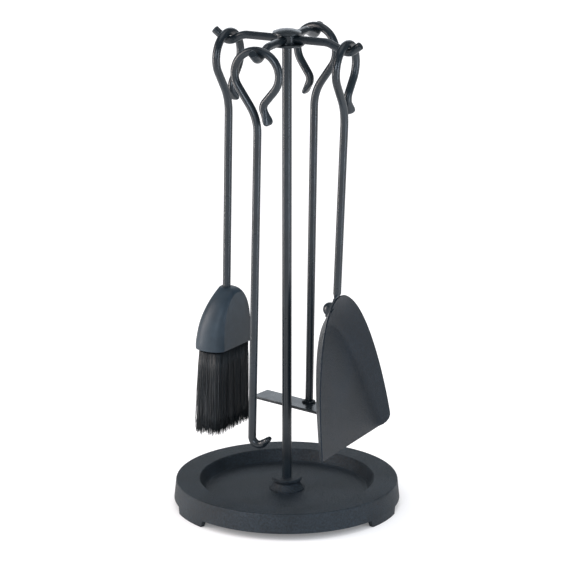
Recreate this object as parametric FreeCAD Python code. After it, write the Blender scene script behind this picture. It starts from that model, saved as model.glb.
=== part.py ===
import FreeCAD, Part
import math
import os
from FreeCAD import Vector

# Fireplace tool set: a round footed base with a post, four hooked arms, and a poker, a rake,
# a shovel and a brush that hang from them. Millimetres, +Z up, origin on the floor at the
# centre of the base. The shovel hangs on the +X arm, the rake on +Y, the brush on -X and the
# poker on -Y.

# Stock
ROD_R = 5.0
POST_R = 6.0
CONTACT_GAP = 0.3
EDGE_BREAK = 0.6
FORGED_RING_POINTS = 12
FORGED_SQUARENESS = 2.4

# Base casting
BASE_R = 141.6
TRAY_Z = 18.6
UNDER_Z = 12.6
CAST_WALL = 6.0
FOOT_H = 8.8
FOOT_SPAN = 25.0
FOOT_STEP_SLOPE = 3.0
FOOT_AZIMUTHS = (-5.0, 115.0, -125.0)
# Outlines as radius and height: tray and its slope, flat rim, outside skirt, hollow underside
TRAY_OUTLINE = [(99.0, TRAY_Z), (101.6, 19.8), (103.7, 22.6), (108.4, 31.5), (109.2, 32.6)]
RIM_OUTLINE = [(110.2, 33.1), (137.6, 33.1), (138.7, 32.7), (139.2, 31.5)]
SKIRT_OUTLINE = [(BASE_R, FOOT_H), (BASE_R, 0.0), (135.6, 0.0), (134.6, FOOT_H)]
UNDER_OUTLINE = [(132.2, 27.1), (113.2, 27.1), (105.0, 14.6), (99.0, UNDER_Z)]

# Collar, washer and nut that hold the post in the base
COLLAR_OUTLINE = [
    (POST_R, TRAY_Z), (22.0, TRAY_Z), (22.0, 20.0), (19.6, 22.0), (17.5, 24.6), (16.6, 27.1),
    (17.0, 29.2), (18.7, 30.6), (18.7, 32.4), (17.3, 33.6), (POST_R, 33.6),
]
POST_STUD_R = 4.0
POST_STUD_END = 1.5
WASHER_R = 12.0
WASHER_T = 1.6
NUT_FLATS = 13.0
NUT_H = 6.5

# Hub
ARM_Z = 595.0
HUB_BODY_R = 11.5
HUB_BODY_TOP_Z = 600.9
HUB_DISC_R = 21.5
HUB_DISC_T = 3.0
HUB_EDGE = 0.8
HUB_CAP_R = 17.5
HUB_CAP_EDGE = 2.6
HUB_TOP_Z = 607.4
POST_TOP_Z = 600.6
ARM_SOCKET_R = 8.0

# Arms: level run, dip that holds the crook, and upturned end
ARM_KNEE_BEND = 22.0
ARM_RISE_ANGLE = 38.0
ARM_DIP_BEND = 12.0
# Tool: azimuth, hanging radius, height of the dip, angle down into the dip, length of the tip
ARMS = {
    "poker": (-90, 80.7, 585.2, 24.0, 12.0),
    "rake": (90, 80.7, 585.2, 24.0, 12.0),
    "shovel": (0, 80.7, 585.2, 22.0, 12.0),
    "brush": (180, 78.0, 586.2, 28.0, 15.5),
}

# Crook at the top of every tool, drawn in its own plane about the loop's centre
LOOP_R = 29.4
SHAFT_OFFSET = 2.3
SHAFT_SIDE_ANGLE = 35.6
SHAFT_BEND = 57.0
TAIL_SIDE_ANGLE = 38.0
TAIL_RUN = 18.5
TAIL_BEND = 11.0
TAIL_TURN = 62.0
TAIL_TIP = 17.5
# Fishtail sections: share of the tip's length, half thickness, half width
FISHTAIL = [(-0.12, 4.5, 4.5), (0.0, 4.85, 4.85), (0.25, 4.1, 5.4), (0.5, 3.4, 6.6), (0.72, 2.8, 7.3),
            (0.87, 2.3, 6.9), (0.96, 1.8, 5.6), (1.02, 1.2, 3.6)]

# Poker
POKER_OFFSET = -1.9
POKER_TAIL_SPIN = 25.0
POKER_LEAN = 1.2
POKER_BEND = 9.0
POKER_HOOK_ANGLE = 42.0
POKER_BOTTOM_Z = 101.0
POKER_HOOK_RUN = 1.0
# Paddle sections: distance from the bend, half thickness, half width
PADDLE = [(-2.0, 4.5, 4.5), (0.0, 4.85, 4.85), (3.0, 4.1, 5.8), (6.0, 3.7, 6.4), (9.0, 3.1, 6.0),
          (11.0, 2.0, 4.2)]

# Rake
RAKE_OFFSET = -3.5
RAKE_LEAN = 1.0
RAKE_TWIST = -12.0
RAKE_TAIL_TIP = 15.5
BLADE_LENGTH = 142.0
BLADE_WIDTH = 31.5
BLADE_T = 3.5
BLADE_BACK = 5.4
BLADE_TOP_Z = 106.8
BLADE_EDGE = 0.7
# Weld bead outline as radius and height above the blade, and the side where it runs off the blade
WELD_OUTLINE = [(ROD_R, 0.0), (8.6, 0.0), (8.2, 1.2), (6.4, 2.8), (ROD_R, 4.2)]
WELD_TRIM = 20.0

# Shovel: the pan is drawn lying in the YZ plane, its lip on Z = 0, its floor at X = 0, its
# walls rising to +X, then tilted and moved to its place
SHOVEL_OFFSET = -3.5
SHOVEL_SIDE_LEAN = -0.3
SHOVEL_SWING = 2.4
SHOVEL_TAIL_SPIN = -35.0
PAN_TILT = 12.8
PAN_ROLL = 1.8
PAN_LIP_X = 87.0
PAN_LIP_Z = 88.7
PAN_T = 1.6
PAN_WALL_TUCK = 2.1
PAN_FLOOR_HALF = 87.0
PAN_FLOOR_LENGTH = 157.0
PAN_FLOOR_POWER = 1.2
PAN_SIDE_FLARE = 1.4
PAN_BACK_FLARE = 1.16
PAN_RIM_POWER = 1.26
PAN_RIM_LENGTH = 187.0
PAN_RIM_FRONT_W = 11.2
PAN_RIM_BACK_W = 25.6
PAN_RIM_MEAN_W = 20.0
PAN_BLOCK_W = 44.0
PAN_STEPS = 9
PAN_CORNER = 13.0
PAN_CORNER_STEPS = 6
# Strap hammered from the foot of the rod, bent onto the pan's back wall
STRAP_W = 17.0
STRAP_T = 3.2
STRAP_TAPER = [(-2.0, 4.5, 4.5), (0.0, 4.85, 4.85), (2.5, 3.1, 6.6), (5.6, 1.6, 8.5)]
STRAP_TAPER_RUN = 5.0
STRAP_BEND = 9.0
STRAP_LENGTH = 27.0
STRAP_END_R = 7.0
STRAP_BITE = 0.2
RIVET_R = 8.8
RIVET_H = 9.0
RIVET_SHANK_R = 2.5
RIVET_SHANK = 8.8
RIVET_FROM_VERTEX = 16.5

# Brush
BRUSH_OFFSET = -1.2
BRUSH_TAIL_TIP = 14.5
BRUSH_LEAN = 1.8
BRUSH_TWIST = -4.5
BRUSH_HEAD_TOP_Z = 275.0
BRUSH_HEAD_BOTTOM_Z = 200.0
BRUSH_SOCKET = 30.0
BRUSH_FACE = 16.5
BRUSH_FACE_CUT = 200.0
# Head sections from its lower edge, share 0, to its top, share 1
HEAD_SHARES = (0.0, 0.2, 0.4, 0.6, 0.75, 0.87, 0.95, 1.0)
HEAD_RING_POINTS = 28
HEAD_SQUARENESS = 2.7
HEAD_TOP_HALF = 8.0
HEAD_WIDE = 35.0
HEAD_OUT = 22.0
HEAD_IN = 14.0
# Power of the share, then of what is left, that shapes each side of the head towards its top
HEAD_WIDE_POWERS = (2.5, 0.75)
HEAD_OUT_POWERS = (2.0, 1.0)
HEAD_IN_POWERS = (6.0, 0.5)
BRISTLE_INSET = 4.0
BRISTLE_SPREAD = 1.5
BRISTLE_FACE_INSET = 2.0
BRISTLE_TIP_Z = 95.0


def up_to(angle):
    """Unit vector in the XZ plane at an angle above +X, in degrees."""
    return Vector(math.cos(math.radians(angle)), 0, math.sin(math.radians(angle)))


def bend_rod(start, heading, steps):
    """Centre line of a bent rod in the XZ plane.

    A step is a straight run, a bend radius and a turn in degrees, positive anticlockwise as
    seen from -Y. Gives the edges, the end point and the end heading.
    """
    edges = []
    here = start
    for run, radius, turn in steps:
        if run > 0:
            there = here + up_to(heading) * run
            edges.append(Part.LineSegment(here, there).toShape())
            here = there
        if turn:
            side = math.copysign(90, turn)
            centre = here + up_to(heading + side) * radius
            middle = centre - up_to(heading + turn / 2 + side) * radius
            there = centre - up_to(heading + turn + side) * radius
            edges.append(Part.Arc(here, middle, there).toShape())
            here = there
            heading += turn
    return edges, here, heading


def round_bar(start, heading, steps, radius):
    """Solid round bar along a bent centre line, with the end point and heading."""
    edges, end, end_heading = bend_rod(start, heading, steps)
    circle = Part.Wire([Part.Circle(start, up_to(heading), radius).toShape()])
    return Part.Wire(edges).makePipeShell([circle], True, False), end, end_heading


def closed_spline(points):
    """Smooth closed wire through points."""
    curve = Part.BSplineCurve()
    curve.interpolate(Points=points, PeriodicFlag=True)
    return Part.Wire([curve.toShape()])


def power_curve(angle, power):
    """Point of a unit superellipse."""
    c = math.cos(angle)
    s = math.sin(angle)
    exponent = 2 / power
    return math.copysign(abs(c) ** exponent, c), math.copysign(abs(s) ** exponent, s)


def forged_end(start, heading, stations, spin=0):
    """Bar end hammered flat, square to the XZ plane unless it is spun about its own length.

    A station is its distance from the start, half thickness and half width.
    """
    turn = FreeCAD.Rotation(up_to(heading), spin)
    thin = turn.multVec(up_to(heading + 90))
    broad = turn.multVec(Vector(0, 1, 0))
    rings = []
    for distance, thick, wide in stations:
        power = 2 if thick == wide else FORGED_SQUARENESS
        centre = start + up_to(heading) * distance
        ring = [power_curve(2 * math.pi * (i + 0.5) / FORGED_RING_POINTS, power)
                for i in range(FORGED_RING_POINTS)]
        rings.append(closed_spline([centre + thin * (thick * a) + broad * (wide * b) for a, b in ring]))
    return Part.makeLoft(rings, True, False)


def joined(shapes):
    """One solid from shapes that meet."""
    whole = shapes[0].multiFuse(shapes[1:]).removeSplitter()
    return whole.Solids[0] if len(whole.Solids) == 1 else whole


def ring_profile(points):
    """Turned solid from an outline of radius and height pairs."""
    outline = Part.makePolygon([Vector(r, 0, z) for r, z in points + points[:1]])
    return Part.Face(outline).revolve(Vector(0, 0, 0), Vector(0, 0, 1), 360)


def cylinder(radius, low, high):
    """Upright cylinder on the Z axis between two heights."""
    return Part.makeCylinder(radius, high - low, Vector(0, 0, low))


# Base ------------------------------------------------------------------------------------

def foot_gap(azimuth):
    """Space under the skirt from one foot to the next, with sloped ends."""
    inner = BASE_R - 4 * CAST_WALL
    outer = BASE_R + CAST_WALL
    span = 360 / len(FOOT_AZIMUTHS) - FOOT_SPAN
    slab = Part.Face(Part.makePolygon([Vector(inner, 0, 0), Vector(outer, 0, 0), Vector(outer, 0, FOOT_H),
                                       Vector(inner, 0, FOOT_H), Vector(inner, 0, 0)]))
    gap = slab.revolve(Vector(0, 0, 0), Vector(0, 0, 1), span)
    slope = FOOT_STEP_SLOPE
    wedge = Part.Face(Part.makePolygon([Vector(inner, 0, 0), Vector(inner, 0, FOOT_H),
                                        Vector(inner, -slope, 0), Vector(inner, 0, 0)]))
    first = wedge.extrude(Vector(outer - inner, 0, 0))
    last = first.mirror(Vector(0, 0, 0), Vector(0, 1, 0))
    last.rotate(Vector(0, 0, 0), Vector(0, 0, 1), span)
    gap = joined([gap, first, last])
    gap.rotate(Vector(0, 0, 0), Vector(0, 0, 1), azimuth + FOOT_SPAN / 2)
    return gap


def base_casting():
    """Round casting with a flat rim, a shallow tray, a hollow underside and three feet."""
    bore = [(POST_STUD_R, UNDER_Z), (POST_STUD_R, TRAY_Z)]
    casting = ring_profile(bore + TRAY_OUTLINE + RIM_OUTLINE + SKIRT_OUTLINE + UNDER_OUTLINE)
    return casting.cut([foot_gap(azimuth) for azimuth in FOOT_AZIMUTHS])


def post():
    """Round post with a stud at its foot that passes through the casting."""
    shaft = cylinder(POST_R, TRAY_Z, POST_TOP_Z)
    stud_z = UNDER_Z - WASHER_T - NUT_H - POST_STUD_END
    return joined([shaft, cylinder(POST_STUD_R, stud_z, TRAY_Z)])


def base_washer():
    """Plain washer under the casting."""
    return cylinder(WASHER_R, UNDER_Z - WASHER_T, UNDER_Z).cut(cylinder(POST_STUD_R, 0, TRAY_Z))


def base_nut():
    """Hexagon nut on the stud."""
    low = UNDER_Z - WASHER_T - NUT_H
    corner = NUT_FLATS / math.sqrt(3)
    corners = [up_to(60 * i) * corner for i in range(7)]
    body = Part.Face(Part.makePolygon([Vector(c.x, c.z, low) for c in corners]))
    return body.extrude(Vector(0, 0, NUT_H)).cut(cylinder(POST_STUD_R, 0, TRAY_Z))


# Hub and arms ----------------------------------------------------------------------------

def arm_bar(tool):
    """Hook arm drawn along +X in the XZ plane, then turned to its azimuth."""
    azimuth, hang_r, dip_z, drop_angle, tip = ARMS[tool]
    fall = math.radians(drop_angle)
    drop = ARM_Z - dip_z
    bends_drop = (ARM_KNEE_BEND + ARM_DIP_BEND) * (1 - math.cos(fall))
    slope_run = (drop - bends_drop) / math.sin(fall)
    bends_reach = (ARM_KNEE_BEND + ARM_DIP_BEND) * math.sin(fall)
    level_end = hang_r - slope_run * math.cos(fall) - bends_reach
    steps = [
        (level_end - ARM_SOCKET_R, ARM_KNEE_BEND, -drop_angle),
        (slope_run, ARM_DIP_BEND, drop_angle + ARM_RISE_ANGLE),
        (tip, 0, 0),
    ]
    bar, end = round_bar(Vector(ARM_SOCKET_R, 0, ARM_Z), 0, steps, ROD_R)[:2]
    end_face = min(bar.Faces, key=lambda face: face.CenterOfMass.distanceToPoint(end))
    bar = bar.makeChamfer(EDGE_BREAK, end_face.Edges)
    bar.rotate(Vector(0, 0, 0), Vector(0, 0, 1), azimuth)
    return bar


def hub_body(arms, centre_post):
    """Short round body that the post and the four arms enter."""
    return cylinder(HUB_BODY_R, ARM_Z - ROD_R, HUB_BODY_TOP_Z).cut(arms + [centre_post])


def hub_disc(centre_post):
    """Flat disc under the arms."""
    top = ARM_Z - ROD_R
    low = top - HUB_DISC_T
    disc = ring_profile([(0, low), (HUB_DISC_R - HUB_EDGE, low), (HUB_DISC_R, low + HUB_EDGE),
                         (HUB_DISC_R, top - HUB_EDGE), (HUB_DISC_R - HUB_EDGE, top), (0, top)])
    return disc.cut(centre_post)


def hub_cap():
    """Domed cap on top of the hub."""
    low = HUB_BODY_TOP_Z
    edge_z = low + HUB_CAP_EDGE
    rise = HUB_TOP_Z - edge_z
    dome_r = (HUB_CAP_R ** 2 + rise ** 2) / (2 * rise)
    dome = Part.makeSphere(dome_r, Vector(0, 0, HUB_TOP_Z - dome_r))
    blank = ring_profile([(0, low), (HUB_CAP_R - HUB_EDGE, low), (HUB_CAP_R, low + HUB_EDGE),
                          (HUB_CAP_R, HUB_TOP_Z), (0, HUB_TOP_Z)])
    return blank.common(dome)


# Crook and hanging -----------------------------------------------------------------------

def loop_drop(offset):
    """How far the loop's centre lies under the arm's axis when the loop rests on the arm."""
    reach = LOOP_R - 2 * ROD_R - CONTACT_GAP
    return math.sqrt(reach ** 2 - offset ** 2)


def shaft_start(offset):
    """Point where the straight shaft meets the crook's first bend."""
    side = math.radians(SHAFT_SIDE_ANGLE)
    run = crook_run()
    z = -loop_drop(offset) - (LOOP_R + SHAFT_BEND) * math.sin(side) - run * math.cos(side)
    return Vector(offset + SHAFT_OFFSET, 0, z)


def crook_run():
    """Length of the straight strand between the crook's first bend and its loop."""
    side = math.radians(SHAFT_SIDE_ANGLE)
    reach = SHAFT_OFFSET + LOOP_R * math.cos(side) - SHAFT_BEND * (1 - math.cos(side))
    return reach / math.sin(side)


def tool_bar(offset, foot, heading, lower_steps, tip=TAIL_TIP, spin=0):
    """Whole tool rod as one bar: lower bends, straight shaft, loop, and its fishtail end."""
    shaft_foot = bend_rod(foot, heading, lower_steps)[1]
    steps = lower_steps + [
        (shaft_start(offset).z - shaft_foot.z, SHAFT_BEND, SHAFT_SIDE_ANGLE),
        (crook_run(), LOOP_R, -(180 + SHAFT_SIDE_ANGLE + TAIL_SIDE_ANGLE)),
        (TAIL_RUN, TAIL_BEND, TAIL_TURN),
    ]
    bar, end, end_heading = round_bar(foot, heading, steps, ROD_R)
    stations = [(share * tip, thick, wide) for share, thick, wide in FISHTAIL]
    return joined([bar, forged_end(end, end_heading, stations, spin=spin)])


def hang(shape, tool, lean=0, swing=0, twist=0):
    """Tool drawn upright about the arm's axis, leaned in its plane, swung and twisted, on its arm."""
    azimuth, hang_r, dip_z = ARMS[tool][:3]
    placed = shape.copy()
    here = Vector(0, 0, 0)
    placed.rotate(here, Vector(0, 1, 0), lean)
    placed.rotate(here, Vector(1, 0, 0), swing)
    placed.rotate(here, Vector(0, 0, 1), twist)
    placed.translate(Vector(0, -hang_r, dip_z))
    placed.rotate(here, Vector(0, 0, 1), azimuth + 90)
    return placed


# Poker -----------------------------------------------------------------------------------

def poker():
    """One forging: crook, straight shaft, and a hook that ends in a small paddle."""
    turn = 90 + POKER_HOOK_ANGLE
    bend = Vector(shaft_start(POKER_OFFSET).x, 0, POKER_BOTTOM_Z - ARMS["poker"][2] + POKER_BEND)
    end, end_heading = bend_rod(bend, -90, [(0, POKER_BEND, turn), (POKER_HOOK_RUN, 0, 0)])[1:]
    lower_steps = [(POKER_HOOK_RUN, POKER_BEND, -turn)]
    bar = tool_bar(POKER_OFFSET, end, end_heading + 180, lower_steps, spin=POKER_TAIL_SPIN)
    return hang(joined([bar, forged_end(end, end_heading, PADDLE)]), "poker", lean=POKER_LEAN)


# Rake ------------------------------------------------------------------------------------

def rake_place(shape):
    """Rake part hung on its arm."""
    return hang(shape, "rake", lean=-RAKE_LEAN, twist=RAKE_TWIST)


def rake_parts():
    """Rod, the flat blade welded across its end, and the weld bead."""
    start = shaft_start(RAKE_OFFSET)
    foot = Vector(start.x, 0, BLADE_TOP_Z - ARMS["rake"][2])
    rod = tool_bar(RAKE_OFFSET, foot, 90, [], tip=RAKE_TAIL_TIP)
    corner = foot + Vector(-BLADE_LENGTH / 2, -BLADE_BACK, -BLADE_T)
    blade = Part.makeBox(BLADE_LENGTH, BLADE_WIDTH, BLADE_T, corner)
    blade = blade.makeFillet(BLADE_EDGE, blade.Edges)
    bead = ring_profile(WELD_OUTLINE)
    bead.translate(foot)
    trim_corner = Vector(-WELD_TRIM / 2, BLADE_EDGE - BLADE_BACK - WELD_TRIM, -WELD_TRIM / 2)
    bead = bead.cut(Part.makeBox(WELD_TRIM, WELD_TRIM, WELD_TRIM, foot + trim_corner))
    return rake_place(rod), rake_place(blade), rake_place(bead)


# Shovel ----------------------------------------------------------------------------------

def pan_outline(w, tuck, front):
    """Closed outline of the pan at height w: a straight lip and a curve that closes at the back."""
    half = PAN_FLOOR_HALF + PAN_SIDE_FLARE * w - tuck
    length = PAN_FLOOR_LENGTH + PAN_BACK_FLARE * w - tuck - front
    power = PAN_FLOOR_POWER + (PAN_RIM_POWER - PAN_FLOOR_POWER) * w / PAN_RIM_MEAN_W
    points = []
    for step in range(-PAN_STEPS, PAN_STEPS + 1):
        share = math.sin(math.pi / 2 * step / PAN_STEPS)
        points.append(Vector(w, share * half, front + length * (1 - share ** 2) ** (1 / power)))
    curve = Part.BSplineCurve()
    curve.interpolate(Points=points)
    return Part.Wire([curve.toShape(), Part.LineSegment(points[-1], points[0]).toShape()])


def pan_block(low_w, top_w, tuck=0.0, front=0.0):
    """Solid with the pan's floor outline and flaring walls, taller than the rim."""
    return Part.makeLoft([pan_outline(low_w, tuck, front), pan_outline(top_w, tuck, front)], True, True)


def pan_trim():
    """Side view of the pan across its width: the sloped rim and the rounded front corners."""
    back_v = PAN_RIM_LENGTH + 2 * PAN_CORNER
    slope = (PAN_RIM_BACK_W - PAN_RIM_FRONT_W) / PAN_RIM_LENGTH
    outline = [Vector(-PAN_T, 0, 0)]
    for step in range(PAN_CORNER_STEPS + 1):
        angle = math.pi / 2 * step / PAN_CORNER_STEPS
        outline.append(Vector(PAN_RIM_FRONT_W * math.sin(angle), 0, PAN_CORNER * (1 - math.cos(angle))))
    outline.append(Vector(PAN_RIM_FRONT_W + slope * back_v, 0, back_v))
    outline.append(Vector(-PAN_T, 0, back_v))
    face = Part.Face(Part.makePolygon(outline + outline[:1]))
    face.translate(Vector(0, -2 * PAN_FLOOR_HALF, 0))
    return face.extrude(Vector(0, 4 * PAN_FLOOR_HALF, 0))


def pan_place(shape):
    """Pan part tilted and moved to its place."""
    placed = shape.copy()
    placed.rotate(Vector(0, 0, 0), Vector(1, 0, 0), -PAN_ROLL)
    placed.rotate(Vector(0, 0, 0), Vector(0, 1, 0), -PAN_TILT)
    placed.translate(Vector(PAN_LIP_X, 0, PAN_LIP_Z))
    return placed


def pan_back_wall():
    """Top of the outside of the pan's back wall, in the XZ plane, and its downward heading."""
    low = pan_place(Part.Vertex(Vector(0, 0, PAN_FLOOR_LENGTH))).Point
    high_v = PAN_FLOOR_LENGTH + PAN_BACK_FLARE * PAN_RIM_BACK_W
    high = pan_place(Part.Vertex(Vector(PAN_RIM_BACK_W, 0, high_v))).Point
    return Vector(high.x, 0, high.z), math.degrees(math.atan2(low.z - high.z, low.x - high.x))


def shovel_hang(shape):
    """Shovel part hung on its arm."""
    return hang(shape, "shovel", lean=SHOVEL_SIDE_LEAN, swing=SHOVEL_SWING)


def strap_blank(top, vertex_z, turn):
    """Flat strap down the Z axis, bent at a height and on to its rounded end."""
    edges = []
    low = Vector(0, 0, vertex_z)
    bend_run = STRAP_BEND * math.tan(math.radians(turn / 2))
    for side in (-STRAP_T / 2, STRAP_T / 2):
        steps = [(top - vertex_z - bend_run, STRAP_BEND + side, -turn), (STRAP_LENGTH - bend_run, 0, 0)]
        half, end = bend_rod(Vector(side, 0, top), -90, steps)[:2]
        edges.append((half, end))
    low_edge = Part.LineSegment(edges[0][1], edges[1][1]).toShape()
    high_edge = Part.LineSegment(Vector(-STRAP_T / 2, 0, top), Vector(STRAP_T / 2, 0, top)).toShape()
    outline = Part.Wire(Part.sortEdges(edges[0][0] + [low_edge] + edges[1][0] + [high_edge])[0])
    outline.translate(Vector(0, -STRAP_W / 2, 0))
    strap = Part.Face(outline).extrude(Vector(0, STRAP_W, 0))
    tip = (edges[0][1] + edges[1][1]) * 0.5
    corners = [edge for edge in strap.Edges
               if abs(edge.Length - STRAP_T) < EDGE_BREAK and edge.CenterOfMass.z < low.z
               and abs(abs(edge.CenterOfMass.y) - STRAP_W / 2) < EDGE_BREAK
               and abs(edge.CenterOfMass.z - tip.z) < STRAP_T]
    return strap.makeFillet(STRAP_END_R, corners)


def shovel_rod(seat, seat_heading):
    """Crook and shaft, with the foot of the shaft hammered to a strap that lies on the pan."""
    arm_axis = Vector(ARMS["shovel"][1], 0, ARMS["shovel"][2])
    upright_seat = Part.Vertex(seat - arm_axis)
    upright_seat.rotate(Vector(0, 0, 0), Vector(0, 1, 0), -SHOVEL_SWING)
    turn = -(seat_heading + SHOVEL_SWING + 90)
    vertex_z = upright_seat.Point.z - upright_seat.Point.x / math.tan(math.radians(turn))
    vertex = Vector(shaft_start(SHOVEL_OFFSET).x, 0, vertex_z)
    strap_z = vertex_z + STRAP_BEND * math.tan(math.radians(turn / 2)) + EDGE_BREAK
    foot_z = strap_z + STRAP_TAPER_RUN
    taper = forged_end(Vector(0, 0, foot_z), -90, STRAP_TAPER)
    strap = joined([taper, strap_blank(strap_z, vertex_z, turn)])
    strap.rotate(Vector(0, 0, 0), Vector(0, 0, 1), -90)
    strap.translate(Vector(vertex.x, 0, 0))
    bar = tool_bar(SHOVEL_OFFSET, Vector(vertex.x, 0, foot_z), 90, [], spin=SHOVEL_TAIL_SPIN)
    return shovel_hang(joined([bar, strap])), shovel_hang(Part.Vertex(vertex)).Point


def shovel_parts():
    """Rod with a flattened foot, pressed pan, and the rivet that holds them together."""
    wall, wall_heading = pan_back_wall()
    away = up_to(wall_heading - 90)
    rod, vertex = shovel_rod(wall + away * (STRAP_T / 2 - STRAP_BITE), wall_heading)
    blank = pan_block(-PAN_T, PAN_BLOCK_W)
    hollow = pan_block(0, PAN_BLOCK_W + PAN_T, tuck=PAN_WALL_TUCK, front=-2 * PAN_CORNER)
    pan = pan_place(blank.cut(hollow).common(pan_trim()))
    seat = vertex + up_to(wall_heading) * RIVET_FROM_VERTEX + away * (STRAP_T / 2)
    ball_r = (RIVET_R ** 2 + RIVET_H ** 2) / (2 * RIVET_H)
    ball = Part.makeSphere(ball_r, seat + away * (RIVET_H - ball_r))
    dome = ball.common(Part.makeCylinder(2 * RIVET_R, 2 * RIVET_H, seat, away))
    shank = Part.makeCylinder(RIVET_SHANK_R, RIVET_SHANK, seat - away * (RIVET_SHANK - RIVET_H / 2), away)
    rivet = joined([dome, shank])
    return rod.cut(pan_place(blank)).cut(rivet), pan.cut(rivet), rivet


# Brush -----------------------------------------------------------------------------------

def brush_place(shape):
    """Brush hung the other way round: its crook faces the opposite hand."""
    flipped = shape.mirror(Vector(0, 0, 0), Vector(1, 0, 0))
    return hang(flipped, "brush", lean=-BRUSH_LEAN, twist=BRUSH_TWIST)


def head_half(share, spread, powers):
    """Half size of the brush head on one side, share 0 at its lower edge and 1 at its top."""
    return HEAD_TOP_HALF + spread * (1 - share ** powers[0]) ** powers[1]


def head_section(share, z, x, inset=0.0):
    """Outline of the brush head, share 0 at its lower edge and 1 at its top."""
    wide = head_half(share, HEAD_WIDE, HEAD_WIDE_POWERS) - inset
    out = head_half(share, HEAD_OUT, HEAD_OUT_POWERS) - inset
    into = head_half(share, HEAD_IN, HEAD_IN_POWERS) - inset
    middle = (into - out) / 2
    deep = (into + out) / 2
    ring = [power_curve(2 * math.pi * (i + 0.5) / HEAD_RING_POINTS, HEAD_SQUARENESS)
            for i in range(HEAD_RING_POINTS)]
    return closed_spline([Vector(x + wide * a, middle + deep * b, z) for a, b in ring])


def brush_parts():
    """Rod, moulded head with a flat inner face, and the bristle pack."""
    start = shaft_start(BRUSH_OFFSET)
    dip_z = ARMS["brush"][2]
    low = BRUSH_HEAD_BOTTOM_Z - dip_z
    high = BRUSH_HEAD_TOP_Z - dip_z
    tip = BRISTLE_TIP_Z - dip_z
    rod = tool_bar(BRUSH_OFFSET, Vector(start.x, 0, high - BRUSH_SOCKET), 90, [], tip=BRUSH_TAIL_TIP)
    rings = [head_section(share, low + share * (high - low), start.x) for share in HEAD_SHARES]
    beyond = Part.makeBox(BRUSH_FACE_CUT, BRUSH_FACE_CUT, 2 * BRUSH_FACE_CUT,
                          Vector(-BRUSH_FACE_CUT / 2, BRUSH_FACE, low - BRUSH_FACE_CUT))
    head = Part.makeLoft(rings, True, False).cut(beyond).cut(rod)
    pack = Part.makeLoft([head_section(0, low, start.x, BRISTLE_INSET),
                          head_section(0, tip, start.x, BRISTLE_INSET - BRISTLE_SPREAD)], True, True)
    pack = pack.cut(beyond.translated(Vector(0, -BRISTLE_FACE_INSET, 0)))
    return brush_place(rod), brush_place(head), brush_place(pack)


def main():
    """Make every part and write it as a STEP file."""
    os.makedirs("parts", exist_ok=True)
    arms = {tool: arm_bar(tool) for tool in ARMS}
    centre_post = post()
    parts = {
        "base_casting": base_casting(),
        "post_collar": ring_profile(COLLAR_OUTLINE),
        "post": centre_post,
        "base_washer": base_washer(),
        "base_nut": base_nut(),
        "hub_body": hub_body(list(arms.values()), centre_post),
        "hub_disc": hub_disc(centre_post),
        "hub_cap": hub_cap(),
        "poker": poker(),
    }
    for tool, arm in arms.items():
        parts["arm_" + tool] = arm
    parts["rake_rod"], parts["rake_blade"], parts["rake_weld"] = rake_parts()
    parts["shovel_rod"], parts["shovel_pan"], parts["shovel_rivet"] = shovel_parts()
    parts["brush_rod"], parts["brush_head"], parts["brush_bristles"] = brush_parts()
    for node, shape in parts.items():
        if not shape.isValid() or len(shape.Solids) != 1:
            raise ValueError(f"{node} is not one valid solid")
        shape.Solids[0].exportStep(f"parts/{node}.step")


main()
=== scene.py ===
import math
import random

import bmesh
import bpy
from mathutils import Matrix, Vector


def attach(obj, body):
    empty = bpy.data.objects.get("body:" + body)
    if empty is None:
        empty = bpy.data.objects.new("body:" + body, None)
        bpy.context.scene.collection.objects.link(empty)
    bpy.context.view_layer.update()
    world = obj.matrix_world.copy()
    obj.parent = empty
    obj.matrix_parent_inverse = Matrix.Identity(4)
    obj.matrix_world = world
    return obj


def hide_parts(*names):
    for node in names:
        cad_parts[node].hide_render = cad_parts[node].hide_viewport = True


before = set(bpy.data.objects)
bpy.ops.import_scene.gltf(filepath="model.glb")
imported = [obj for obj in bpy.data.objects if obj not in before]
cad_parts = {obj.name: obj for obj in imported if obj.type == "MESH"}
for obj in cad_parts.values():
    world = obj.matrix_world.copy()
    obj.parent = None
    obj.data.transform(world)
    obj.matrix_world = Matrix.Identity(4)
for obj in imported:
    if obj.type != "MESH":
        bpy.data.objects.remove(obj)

bl_info = {
    "name": "Fireplace tool set",
    "version": (1, 0, 0),
    "blender": (4, 5, 0),
    "location": "3D View > Sidebar > Tool set",
    "description": "Finishes, pan, weld bead, bristles and studio for a fireplace tool set",
    "category": "Object",
}

MM = 0.001

# Nodes of the frame that keep their shape and take a finish
CAST_NODES = ("base_casting", "post_collar")
PLATED_NODES = ("base_washer", "base_nut")
COATED_NODES = (
    "post", "hub_body", "hub_disc", "hub_cap",
    "arm_poker", "arm_rake", "arm_shovel", "arm_brush",
    "poker", "rake_rod", "rake_blade", "shovel_rod", "shovel_rivet", "brush_rod",
)

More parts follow.
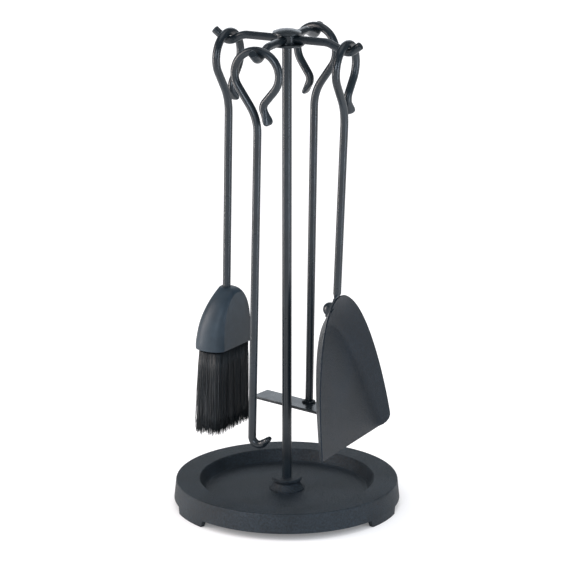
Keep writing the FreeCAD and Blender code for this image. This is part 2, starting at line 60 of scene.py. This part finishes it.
# Pan: local axes are height above its floor, across, and back from the lip, in millimetres
PAN_TILT = math.radians(12.8)
PAN_ROLL = math.radians(1.8)
PAN_LIP = Vector((87.0, 0.0, 88.7))
PAN_FLOOR_HALF = 87.0
PAN_FLOOR_LENGTH = 157.0
PAN_FLOOR_POWER = 1.2
PAN_SIDE_FLARE = 1.4
PAN_BACK_FLARE = 1.16
PAN_RIM_POWER = 1.26
PAN_RIM_MEAN = 20.0
PAN_RIM_LENGTH = 187.0
PAN_RIM_FRONT = 11.2
PAN_RIM_BACK = 25.6
PAN_CORNER = 13.0
PAN_CREASE = 7.0
PAN_CREASE_RISE = 5.0
PAN_FLOOR_SHARE = 0.42
PAN_CREASE_SHARE = 0.64
PAN_RISE_LIMIT = 0.6
PAN_CREASE_LIMIT = 0.3
PAN_RIM_PASSES = 40
PAN_ACROSS = 72
PAN_ALONG = 30
PAN_JOIN = 0.02
PAN_SLIVER = 0.01
PAN_MIDDLE = Vector((0.0, 0.0, 60.0))
PAN_EDGE = 0.35
PAN_EDGE_ANGLE = math.radians(55)

# Weld bead round the foot of the rake's rod, in millimetres
WELD_CENTRE = Vector((-7.0, 80.6, 107.3))
WELD_RING = 6.3
WELD_TUBE = 2.3
WELD_SEGMENTS = 56
WELD_PROFILE = 12
WELD_RIPPLES = 11
WELD_RIPPLE_SWELL = 0.13
WELD_LUMPS = 3
WELD_LUMP_SWELL = 0.12
WELD_BACK = 6.4
WELD_JOIN = 0.01

# Bristle pack: its axes, its outline and how the strands are laid, in millimetres
BRISTLE_ACROSS = Vector((0.078, 0.997, 0.0))
BRISTLE_IN = Vector((0.997, -0.078, 0.0))
BRISTLE_MARGIN = 0.8
BRISTLE_END = 6.0
BRISTLE_OUTER_POWER = 2.7
BRISTLE_INNER_POWER = 7.0
BRISTLE_RINGS = 5
BRISTLE_BATCH = 48
STRAND_SIDES = 3
STRAND_TURN = 2.0
STRAND_EDGE_SHARE = 0.45
STRAND_TUFTS = 0.55
STRAND_WEAR = 0.6
STRAND_STRAY_SHARE = 0.025
STRAND_STRAY_TIMES = 4.0
STRAND_SPLAY = (1.5, 1.2)
STRAND_DRIFT = 0.8
STRAND_WAVE = 0.5
STRAND_TIP = 0.35
TUFT_WAVES = (23, 9, 4)
CORE_SIDES = 32
CORE_RING = 1.5
CORE_CREASE = math.radians(40)
CORE_INSET = 4.5
CORE_SHARE = 0.78

# Studio, in metres, with its lens in millimetres and its camera's turn in degrees
PAPER_HALF = 14.0
AIM = Vector((0.0, 0.0, 0.3))
ROOM_TINT = (0.86, 0.94, 1.0, 1.0)
EYE_PLACE = (1.7175, -3.6888, 1.4670)
EYE_TURN = (73.79, 0.0, 25.0)
EYE_LENS = 216.4
EYE_SENSOR = 36.0
EYE_REACH = 60.0
# Each light's name, place, width and height, tint, and the setting that gives its power
LIGHTS = (
    ("key_left", (-2.6, -1.6, 1.5), (1.3, 2.2), "#fff3ef", "key_power", 1.0),
    ("front", (0.6, -3.0, 1.3), (0.9, 1.2), "#e6f1ff", "front_power", 1.0),
    ("strip_left", (-1.0, -0.6, 0.42), (0.16, 0.8), "#fff6f2", "strip_power", 1.0),
    ("strip_right", (1.0, -0.22, 0.42), (0.16, 0.8), "#e2efff", "strip_power", 0.7),
    ("back", (-1.2, 2.7, 1.5), (2.4, 1.2), "#eef6ff", "back_power", 1.0),
    ("top", (0.2, 0.2, 2.6), (1.8, 1.8), "#f6f9ff", "top_power", 1.0),
)


def hex_colour(text):
    """Linear colour from an sRGB hex value."""
    values = [int(text[i:i + 2], 16) / 255 for i in (1, 3, 5)]
    linear = [v / 12.92 if v <= 0.04045 else ((v + 0.055) / 1.055) ** 2.4 for v in values]
    return (*linear, 1.0)


def add_node(tree, kind, settings=None, values=None, links=None):
    """A shader node with its settings, its socket values and its incoming links."""
    node = tree.nodes.new(kind)
    for name, value in (settings or {}).items():
        setattr(node, name, value)
    for socket, value in (values or {}).items():
        node.inputs[socket].default_value = value
    for socket, source in (links or {}).items():
        tree.links.new(source, node.inputs[socket])
    return node


def new_material(name):
    """An empty node material, its tree, its surface shader and the object coordinates."""
    material = bpy.data.materials.new(name)
    material.use_nodes = True
    tree = material.node_tree
    tree.nodes.clear()
    shader = add_node(tree, "ShaderNodeBsdfPrincipled")
    add_node(tree, "ShaderNodeOutputMaterial", links={"Surface": shader.outputs["BSDF"]})
    place = add_node(tree, "ShaderNodeTexCoord").outputs["Object"]
    return material, tree, shader, place


def noise(tree, place, feature_mm, detail=3.0, roughness=0.55):
    """Noise whose features are about a size in millimetres."""
    values = {"Scale": 1 / (feature_mm * MM), "Detail": detail, "Roughness": roughness}
    return add_node(tree, "ShaderNodeTexNoise", values=values, links={"Vector": place}).outputs["Fac"]


def blend_shades(tree, factor, low, high, start=0.35, end=0.65):
    """Two shades laid out by a pattern."""
    ramp = add_node(tree, "ShaderNodeValToRGB", links={"Fac": factor})
    ramp.color_ramp.elements[0].position = start
    ramp.color_ramp.elements[0].color = hex_colour(low)
    ramp.color_ramp.elements[1].position = end
    ramp.color_ramp.elements[1].color = hex_colour(high)
    return ramp.outputs["Color"]


def spread(tree, factor, low, high):
    """A pattern's range moved to new limits."""
    values = {"From Min": 0.3, "From Max": 0.7, "To Min": low, "To Max": high}
    node = add_node(tree, "ShaderNodeMapRange", values=values, links={"Value": factor})
    return node.outputs["Result"]


def bump(tree, height, depth_mm, before=None):
    """Relief from a pattern, over the relief before it."""
    links = {"Height": height}
    if before is not None:
        links["Normal"] = before
    node = add_node(tree, "ShaderNodeBump", values={"Distance": depth_mm * MM}, links=links)
    return node.outputs["Normal"]


def speckled(tree, shade, grain, dark, share, start):
    """A shade darkened between the grains of a coat."""
    speck = blend_shades(tree, grain, dark, "#ffffff", start, 0.6)
    mix = add_node(tree, "ShaderNodeMix", {"data_type": "RGBA", "blend_type": "MULTIPLY"},
                   {0: share}, {6: shade, 7: speck})
    return mix.outputs[2]


def satin_powder_coat():
    """Polyester powder coat baked on forged bar: a satin slate black with a faint orange peel."""
    material, tree, shader, place = new_material("satin_powder_coat_on_forged_bar")
    tint = noise(tree, place, 45.0, detail=2.0)
    tree.links.new(blend_shades(tree, tint, "#141b20", "#1c252b"), shader.inputs["Base Color"])
    tree.links.new(spread(tree, noise(tree, place, 14.0), 0.26, 0.34), shader.inputs["Roughness"])
    # Hammer facets are broad and shallow; orange peel is drawn 1.2 mm wide so that it shows
    hammered = bump(tree, noise(tree, place, 11.0, detail=1.0), 0.12)
    peel = bump(tree, noise(tree, place, 1.2, detail=2.0), 0.02, hammered)
    tree.links.new(peel, shader.inputs["Normal"])
    shader.inputs["Specular IOR Level"].default_value = 0.42
    return material


def coated_iron():
    """Matt powder coat on sand cast iron: grains of sand print through as a dry, even speckle."""
    material, tree, shader, place = new_material("matt_coat_on_sand_cast_iron")
    broad = noise(tree, place, 38.0, detail=4.0)
    grain = noise(tree, place, 2.3, detail=4.0, roughness=0.7)
    shade = blend_shades(tree, broad, "#1a242b", "#252f37")
    colour = speckled(tree, shade, grain, "#3c4046", 0.75, 0.4)
    tree.links.new(colour, shader.inputs["Base Color"])
    tree.links.new(spread(tree, grain, 0.5, 0.66), shader.inputs["Roughness"])
    cast = bump(tree, noise(tree, place, 7.0, detail=2.0), 0.12)
    sand = bump(tree, grain, 1.1, cast)
    shader.inputs["Specular IOR Level"].default_value = 0.34
    tree.links.new(sand, shader.inputs["Normal"])
    return material


def coated_sheet():
    """Fine textured powder coat on pressed steel sheet: a soft slate sheen with a tight grain."""
    material, tree, shader, place = new_material("fine_texture_coat_on_pressed_sheet")
    broad = noise(tree, place, 60.0, detail=3.0)
    grain = noise(tree, place, 2.0, detail=3.0, roughness=0.65)
    shade = blend_shades(tree, broad, "#08151e", "#0f1d28")
    colour = speckled(tree, shade, grain, "#5c6066", 0.6, 0.38)
    tree.links.new(colour, shader.inputs["Base Color"])
    tree.links.new(spread(tree, grain, 0.36, 0.46), shader.inputs["Roughness"])
    pressed = bump(tree, noise(tree, place, 30.0, detail=1.0), 0.25)
    fine = bump(tree, grain, 0.5, pressed)
    shader.inputs["Specular IOR Level"].default_value = 0.28
    tree.links.new(fine, shader.inputs["Normal"])
    return material


def zinc_plate():
    """Bright zinc plate on turned steel: a pale metal with soft spangled patches."""
    material, tree, shader, place = new_material("zinc_plated_turned_steel")
    patches = noise(tree, place, 2.5, detail=2.0)
    tree.links.new(blend_shades(tree, patches, "#a2a6ab", "#bfc3c8"), shader.inputs["Base Color"])
    tree.links.new(spread(tree, patches, 0.28, 0.42), shader.inputs["Roughness"])
    tree.links.new(bump(tree, noise(tree, place, 0.8), 0.02), shader.inputs["Normal"])
    shader.inputs["Metallic"].default_value = 1.0
    return material


def moulded_abs():
    """Black ABS from a spark eroded mould: satin, with a fine even grain and faint scuffs."""
    material, tree, shader, place = new_material("spark_textured_moulded_abs")
    broad = noise(tree, place, 25.0)
    tree.links.new(blend_shades(tree, broad, "#212c34", "#2a363f"), shader.inputs["Base Color"])
    grain = noise(tree, place, 1.0, detail=2.0)
    tree.links.new(spread(tree, grain, 0.44, 0.54), shader.inputs["Roughness"])
    turn = add_node(tree, "ShaderNodeMapping",
                    values={"Rotation": (0.9, 0.0, 0.4), "Scale": (1.0, 1.0, 0.06)},
                    links={"Vector": place})
    scuffs = noise(tree, turn.outputs["Vector"], 0.9, detail=1.0)
    scuffed = bump(tree, scuffs, 0.03)
    tree.links.new(bump(tree, grain, 0.04, scuffed), shader.inputs["Normal"])
    shader.inputs["IOR"].default_value = 1.53
    shader.inputs["Specular IOR Level"].default_value = 0.3
    return material


def bristle_fibre():
    """Extruded polypropylene monofilament: near black, streaked along the strand."""
    material, tree, shader, place = new_material("extruded_polypropylene_bristle")
    stretch = add_node(tree, "ShaderNodeMapping", values={"Scale": (1.0, 1.0, 0.04)},
                       links={"Vector": place})
    streaks = noise(tree, stretch.outputs["Vector"], 2.2, detail=2.0)
    tree.links.new(blend_shades(tree, streaks, "#060c10", "#121b20"), shader.inputs["Base Color"])
    tree.links.new(spread(tree, streaks, 0.4, 0.58), shader.inputs["Roughness"])
    shader.inputs["IOR"].default_value = 1.49
    return material


def studio_floor():
    """Matt pale seamless paper that a painted glow keeps white under soft light, with a painted shadow
    where things stand close.
    """
    material, tree, shader, place = new_material("matt_seamless_paper")
    fibre = noise(tree, place, 3.0)
    tree.links.new(blend_shades(tree, fibre, "#aca8a8", "#b2aeae"), shader.inputs["Base Color"])
    shader.inputs["Roughness"].default_value = 0.9
    shader.inputs["Specular IOR Level"].default_value = 0.0
    # Painted glow: it stands for the wide light over the paper, and fades into a painted shadow where
    # things stand close
    open_sky = add_node(tree, "ShaderNodeAmbientOcclusion", values={"Distance": 0.3}).outputs["AO"]
    # Painted shadow: the emission drops from 0.94 to 0.15 as occlusion closes in
    painted_glow_and_shadow = add_node(tree, "ShaderNodeMapRange", values={"To Min": 0.15, "To Max": 0.94},
                    links={"Value": open_sky})
    tree.links.new(painted_glow_and_shadow.outputs["Result"], shader.inputs["Emission Strength"])
    shader.inputs["Emission Color"].default_value = (1.0, 1.0, 1.0, 1.0)
    return material


def give(node_object, material):
    """One material over a whole object."""
    node_object.data.materials.clear()
    node_object.data.materials.append(material)


def finish_piece(bm, name, material, body):
    """An object from a bmesh, shaded smooth, riding on a body."""
    mesh = bpy.data.meshes.new(name)
    bm.to_mesh(mesh)
    bm.free()
    mesh.shade_smooth()
    piece = bpy.data.objects.new(name, mesh)
    bpy.context.scene.collection.objects.link(piece)
    mesh.materials.append(material)
    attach(piece, body)
    return piece


def pan_outline(share, height):
    """Point of the pan's outline at a height: across and back from the lip."""
    half = PAN_FLOOR_HALF + PAN_SIDE_FLARE * height
    length = PAN_FLOOR_LENGTH + PAN_BACK_FLARE * height
    power = PAN_FLOOR_POWER + (PAN_RIM_POWER - PAN_FLOOR_POWER) * height / PAN_RIM_MEAN
    back = length * max(0.0, 1 - share * share) ** (1 / power)
    return Vector((height, share * half, back))


def rim_height(share):
    """Height of the pan's rim, where the outline meets the sloped rim and its rounded corner."""
    height = PAN_RIM_FRONT
    slope = (PAN_RIM_BACK - PAN_RIM_FRONT) / PAN_RIM_LENGTH
    for step in range(PAN_RIM_PASSES):
        back = pan_outline(share, height).z
        corner = max(0.0, 1 - back / PAN_CORNER)
        target = PAN_RIM_FRONT * math.sqrt(1 - corner * corner) + slope * back
        height += 0.5 * (target - height)
    return height


def pan_point(share, along):
    """Point of the pan's inner skin: floor from the lip's middle, soft crease, then wall to the rim."""
    edge = pan_outline(share, 0.0)
    top = rim_height(share)
    rise = min(PAN_CREASE_RISE, PAN_RISE_LIMIT * top)
    reach = min(PAN_CREASE, PAN_CREASE_LIMIT * edge.length)
    floor_end = edge * (1 - reach / edge.length)
    if along <= PAN_FLOOR_SHARE:
        return floor_end * (along / PAN_FLOOR_SHARE)
    if along <= PAN_CREASE_SHARE:
        t = (along - PAN_FLOOR_SHARE) / (PAN_CREASE_SHARE - PAN_FLOOR_SHARE)
        wall = pan_outline(share, rise)
        return floor_end * (1 - t) ** 2 + edge * (2 * t * (1 - t)) + wall * t ** 2
    t = (along - PAN_CREASE_SHARE) / (1 - PAN_CREASE_SHARE)
    return pan_outline(share, rise + (top - rise) * t)


def strand_offset(rng, spread_mm):
    """A level shift of one strand in a random direction."""
    return Vector((rng.gauss(0, 1), rng.gauss(0, 1), 0)) * (spread_mm * MM)


def pack_end(vertices, low):
    """Centre of the bristle pack's lower or upper end, and its half sizes across and in depth."""
    heights = [v.z for v in vertices]
    level = min(heights) if low else max(heights)
    ring = [v for v in vertices if abs(v.z - level) < BRISTLE_END * MM]
    centre = Vector((0, 0, sum(v.z for v in ring) / len(ring)))
    halves = []
    for axis in (BRISTLE_ACROSS, BRISTLE_IN):
        reach = [v.dot(axis) for v in ring]
        centre += axis * (max(reach) + min(reach)) / 2
        halves.append((max(reach) - min(reach)) / 2 - BRISTLE_MARGIN * MM)
    return centre, halves


def pack_point(a, b):
    """A point of the unit square pressed into the pack's outline, rounder on its outer side."""
    power = BRISTLE_OUTER_POWER if b < 0 else BRISTLE_INNER_POWER
    size = (abs(a) ** power + abs(b) ** power) ** (1 / power)
    return (a / size, b / size) if size > 1 else (a, b)


def strand_plan(rng, top, low, halves, ragged):
    """Root, run, sideways drift and wave of one strand."""
    a = rng.uniform(-1, 1)
    b = rng.uniform(-1, 1)
    if rng.random() < STRAND_EDGE_SHARE:
        scale = max(abs(a), abs(b), 0.01)
        a, b = a / scale, b / scale
    a, b = pack_point(a, b)
    root = top + BRISTLE_ACROSS * (a * halves[0]) + BRISTLE_IN * (b * halves[1])
    tuft = math.sin(a * TUFT_WAVES[0]) * math.cos(b * TUFT_WAVES[1] + a * TUFT_WAVES[2])
    run = low - top
    run *= 1.0 + (STRAND_TUFTS * tuft + rng.gauss(0, STRAND_WEAR)) * ragged / run.length
    stray = STRAND_STRAY_TIMES if rng.random() < STRAND_STRAY_SHARE else 1.0
    drift = BRISTLE_ACROSS * (a * STRAND_SPLAY[0] * MM) + BRISTLE_IN * (b * STRAND_SPLAY[1] * MM)
    drift += strand_offset(rng, STRAND_DRIFT * stray)
    return root, run, drift, strand_offset(rng, STRAND_WAVE * stray)


def strand_batch(plans, radius, rng):
    """Mesh of a few strands: three sided, in rings, closed at both ends, finer at the tip."""
    bm = bmesh.new()
    faces = []
    for plan in plans:
        place = Matrix.Translation(plan[0]) @ Matrix.Rotation(rng.uniform(0, STRAND_TURN), 4, "Z")
        ring = bmesh.ops.create_circle(bm, segments=STRAND_SIDES, radius=radius, cap_ends=True,
                                       matrix=place)
        faces.append(ring["verts"][0].link_faces[0])
    last = 0.0
    for step in range(1, BRISTLE_RINGS + 1):
        share = step / BRISTLE_RINGS
        faces = bmesh.ops.extrude_discrete_faces(bm, faces=faces)["faces"]
        for face, (root, run, drift, wave) in zip(faces, plans):
            move = run * (share - last) + drift * (share ** 2 - last ** 2)
            move += wave * (math.sin(math.pi * share) - math.sin(math.pi * last))
            centre = face.calc_center_median()
            taper = STRAND_TIP if step == BRISTLE_RINGS else 1.0
            for v in face.verts:
                v.co = centre + (v.co - centre) * taper + move
        last = share
    bmesh.ops.holes_fill(bm, edges=[e for e in bm.edges if e.is_boundary], sides=STRAND_SIDES)
    bmesh.ops.recalc_face_normals(bm, faces=bm.faces)
    return bm


class ToolSetSettings(bpy.types.PropertyGroup):
    """Sizes that shape the loose parts of the tool set."""

    strand_count: bpy.props.IntProperty(
        name="Strands", description="Number of bristles in the brush", default=2600, min=200, max=6000)
    strand_radius: bpy.props.FloatProperty(
        name="Strand radius", description="Half the thickness of one bristle", default=0.00036,
        unit="LENGTH", precision=5)
    strand_ragged: bpy.props.FloatProperty(
        name="Ragged ends", description="How unevenly the bristles are worn at their tips",
        default=0.0035, unit="LENGTH", precision=4)
    sheet_thickness: bpy.props.FloatProperty(
        name="Sheet thickness", description="Thickness of the shovel pan's steel", default=0.0016,
        unit="LENGTH", precision=4)
    key_power: bpy.props.FloatProperty(
        name="Key light", description="Power of the large light on the left", default=46.0, unit="POWER")
    front_power: bpy.props.FloatProperty(
        name="Front light", description="Power of the large light in front", default=46.0, unit="POWER")
    top_power: bpy.props.FloatProperty(
        name="Top light", description="Power of the light over the set", default=14.0, unit="POWER")
    strip_power: bpy.props.FloatProperty(
        name="Strip light", description="Power of the narrow light on the left that edges the bars; "
        "the one on the right follows it", default=8.0, unit="POWER")
    back_power: bpy.props.FloatProperty(
        name="Back light", description="Power of the light behind the set", default=17.0, unit="POWER")
    world_strength: bpy.props.FloatProperty(
        name="Room light", description="Strength of the even light all round", default=0.24)


class TOOLSET_OT_finish_stand(bpy.types.Operator):
    """Give the base, the collar and their fasteners their finishes"""

    bl_idname = "toolset.finish_stand"
    bl_label = "Finish the stand"

    def execute(self, context):
        iron = coated_iron()
        zinc = zinc_plate()
        for name in CAST_NODES:
            give(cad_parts[name], iron)
        for name in PLATED_NODES:
            give(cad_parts[name], zinc)
        return {"FINISHED"}


class TOOLSET_OT_finish_bars(bpy.types.Operator):
    """Give the bars, the hub, the rake's blade, the rivet and the brush head their finishes"""

    bl_idname = "toolset.finish_bars"
    bl_label = "Finish the bars"

    def execute(self, context):
        coat = satin_powder_coat()
        for name in COATED_NODES:
            give(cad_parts[name], coat)
        give(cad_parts["brush_head"], moulded_abs())
        return {"FINISHED"}


class TOOLSET_OT_weld_bead(bpy.types.Operator):
    """Lay a rippled weld bead round the foot of the rake's rod"""

    bl_idname = "toolset.weld_bead"
    bl_label = "Weld bead"

    def execute(self, context):
        bm = bmesh.new()
        start = WELD_CENTRE + Vector((WELD_RING, 0, 0))
        upright = Matrix.Translation(start) @ Matrix.Rotation(math.pi / 2, 4, "X")
        bmesh.ops.create_circle(bm, segments=WELD_PROFILE, radius=WELD_TUBE, matrix=upright)
        bmesh.ops.spin(bm, geom=bm.verts[:] + bm.edges[:], cent=WELD_CENTRE, axis=(0, 0, 1),
                       angle=2 * math.pi, steps=WELD_SEGMENTS, use_merge=True)
        bmesh.ops.remove_doubles(bm, verts=bm.verts, dist=WELD_JOIN)
        bmesh.ops.recalc_face_normals(bm, faces=bm.faces)
        for v in bm.verts:
            flat = Vector((v.co.x - WELD_CENTRE.x, v.co.y - WELD_CENTRE.y, 0))
            angle = math.atan2(flat.y, flat.x)
            core = WELD_CENTRE + flat.normalized() * WELD_RING
            swell = 1 + WELD_RIPPLE_SWELL * math.sin(WELD_RIPPLES * angle)
            swell += WELD_LUMP_SWELL * math.sin(WELD_LUMPS * angle + 1)
            v.co = core + (v.co - core) * swell
            v.co.y = max(v.co.y, WELD_CENTRE.y - WELD_BACK)
        bmesh.ops.scale(bm, vec=(MM, MM, MM), verts=bm.verts)
        piece = finish_piece(bm, "weld_bead", satin_powder_coat(), "rake")
        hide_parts("rake_weld")
        return {"FINISHED"}


class TOOLSET_OT_shovel_pan(bpy.types.Operator):
    """Press the shovel pan from one sheet, with a soft crease round its floor"""

    bl_idname = "toolset.shovel_pan"
    bl_label = "Shovel pan"

    def execute(self, context):
        settings = context.scene.tool_set
        bm = bmesh.new()
        bmesh.ops.create_grid(bm, x_segments=PAN_ACROSS, y_segments=PAN_ALONG, size=0.5)
        for v in bm.verts:
            share = math.sin(math.pi * v.co.x)
            v.co = pan_point(max(-1.0, min(1.0, share)), v.co.y + 0.5)
        bmesh.ops.remove_doubles(bm, verts=bm.verts, dist=PAN_JOIN)
        bmesh.ops.dissolve_degenerate(bm, dist=PAN_SLIVER, edges=bm.edges)
        bmesh.ops.recalc_face_normals(bm, faces=bm.faces)
        floor_face = min(bm.faces, key=lambda f: (f.calc_center_median() - PAN_MIDDLE).length)
        if floor_face.normal.x < 0:
            bmesh.ops.reverse_faces(bm, faces=bm.faces)
        tilt = Matrix.Rotation(-PAN_TILT, 4, "Y") @ Matrix.Rotation(-PAN_ROLL, 4, "X")
        place = Matrix.Scale(MM, 4) @ Matrix.Translation(PAN_LIP) @ tilt
        bmesh.ops.transform(bm, matrix=place, verts=bm.verts)
        piece = finish_piece(bm, "pan_sheet", coated_sheet(), "shovel")
        wall = piece.modifiers.new("Sheet", "SOLIDIFY")
        wall.thickness = settings.sheet_thickness
        wall.offset = -1.0
        wall.use_even_offset = True
        edge = piece.modifiers.new("Edge", "BEVEL")
        edge.width = PAN_EDGE * MM
        edge.segments = 2
        edge.limit_method = "ANGLE"
        edge.angle_limit = PAN_EDGE_ANGLE
        edge.harden_normals = True
        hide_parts("shovel_pan")
        return {"FINISHED"}


class TOOLSET_OT_bristles(bpy.types.Operator):
    """Fill the brush head with loose strands that end raggedly"""

    bl_idname = "toolset.bristles"
    bl_label = "Bristles"

    def execute(self, context):
        settings = context.scene.tool_set
        rng = random.Random(11)
        corners = [v.co.copy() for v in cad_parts["brush_bristles"].data.vertices]
        top, halves = pack_end(corners, low=False)
        low = pack_end(corners, low=True)[0]
        plans = [strand_plan(rng, top, low, halves, settings.strand_ragged)
                 for strand in range(settings.strand_count)]
        whole = bmesh.new()
        batch = bpy.data.meshes.new("strand_batch")
        for start in range(0, len(plans), BRISTLE_BATCH):
            few = strand_batch(plans[start:start + BRISTLE_BATCH], settings.strand_radius, rng)
            few.to_mesh(batch)
            few.free()
            whole.from_mesh(batch)
        bpy.data.meshes.remove(batch)
        fibre = bristle_fibre()
        piece = finish_piece(whole, "bristle_strands", fibre, "brush")
        core = bmesh.new()
        # The ring passes the unit square, so pack_point presses all of it into the outline
        result = bmesh.ops.create_circle(core, segments=CORE_SIDES, radius=CORE_RING, cap_ends=True)
        for v in result["verts"]:
            a, b = pack_point(v.co.x, v.co.y)
            v.co = top + BRISTLE_ACROSS * (a * (halves[0] - CORE_INSET * MM))
            v.co += BRISTLE_IN * (b * (halves[1] - CORE_INSET * MM))
        grown = bmesh.ops.extrude_face_region(core, geom=core.faces[:], use_keep_orig=True)["geom"]
        moved = [g for g in grown if isinstance(g, bmesh.types.BMVert)]
        bmesh.ops.translate(core, vec=(low - top) * CORE_SHARE, verts=moved)
        bmesh.ops.recalc_face_normals(core, faces=core.faces)
        block = finish_piece(core, "bristle_core", fibre, "brush")
        block.data.set_sharp_from_angle(angle=CORE_CREASE)
        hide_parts("brush_bristles")
        return {"FINISHED"}


class TOOLSET_OT_stage(bpy.types.Operator):
    """Set the floor, the soft lights, the room light and the camera"""

    bl_idname = "toolset.stage"
    bl_label = "Stage"

    def execute(self, context):
        settings = context.scene.tool_set
        bm = bmesh.new()
        bmesh.ops.create_grid(bm, x_segments=1, y_segments=1, size=PAPER_HALF)
        mesh = bpy.data.meshes.new("floor")
        bm.to_mesh(mesh)
        bm.free()
        floor = bpy.data.objects.new("floor", mesh)
        context.scene.collection.objects.link(floor)
        mesh.materials.append(studio_floor())

        for name, where, size, tint, setting, share in LIGHTS:
            light = bpy.data.lights.new(name, "AREA")
            light.shape = "RECTANGLE"
            light.size = size[0]
            light.size_y = size[1]
            light.energy = getattr(settings, setting) * share
            light.color = hex_colour(tint)[:3]
            lamp = bpy.data.objects.new(name, light)
            lamp.location = where
            lamp.rotation_euler = (AIM - Vector(where)).to_track_quat("-Z", "Y").to_euler()
            context.scene.collection.objects.link(lamp)

        world = bpy.data.worlds.new("even_room")
        world.use_nodes = True
        room = world.node_tree.nodes["Background"]
        room.inputs["Color"].default_value = ROOM_TINT
        room.inputs["Strength"].default_value = settings.world_strength
        context.scene.world = world
        context.scene.view_settings.view_transform = "Standard"

        camera = bpy.data.cameras.new("camera")
        camera.lens = EYE_LENS
        camera.sensor_width = EYE_SENSOR
        camera.clip_end = EYE_REACH
        eye = bpy.data.objects.new("camera", camera)
        eye.location = EYE_PLACE
        eye.rotation_euler = [math.radians(turn) for turn in EYE_TURN]
        context.scene.collection.objects.link(eye)
        context.scene.camera = eye
        return {"FINISHED"}


class TOOLSET_PT_panel(bpy.types.Panel):
    """Sizes and steps of the tool set"""

    bl_idname = "TOOLSET_PT_panel"
    bl_label = "Fireplace tool set"
    bl_space_type = "VIEW_3D"
    bl_region_type = "UI"
    bl_category = "Tool set"

    def draw(self, context):
        for name in ToolSetSettings.__annotations__:
            self.layout.prop(context.scene.tool_set, name)
        for operator in OPERATORS:
            self.layout.operator(operator.bl_idname)


OPERATORS = (
    TOOLSET_OT_finish_stand,
    TOOLSET_OT_finish_bars,
    TOOLSET_OT_weld_bead,
    TOOLSET_OT_shovel_pan,
    TOOLSET_OT_bristles,
    TOOLSET_OT_stage,
)
CLASSES = (ToolSetSettings, *OPERATORS, TOOLSET_PT_panel)


def register():
    """Register the classes and the scene's settings."""
    for cls in CLASSES:
        bpy.utils.register_class(cls)
    bpy.types.Scene.tool_set = bpy.props.PointerProperty(type=ToolSetSettings)


def unregister():
    """Take the settings and the classes away again."""
    del bpy.types.Scene.tool_set
    for cls in reversed(CLASSES):
        bpy.utils.unregister_class(cls)


def main():
    """Build everything in order."""
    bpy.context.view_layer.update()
    register()
    for operator in OPERATORS:
        group, name = operator.bl_idname.split(".")
        getattr(getattr(bpy.ops, group), name)()


if __name__ == "__main__":
    main()
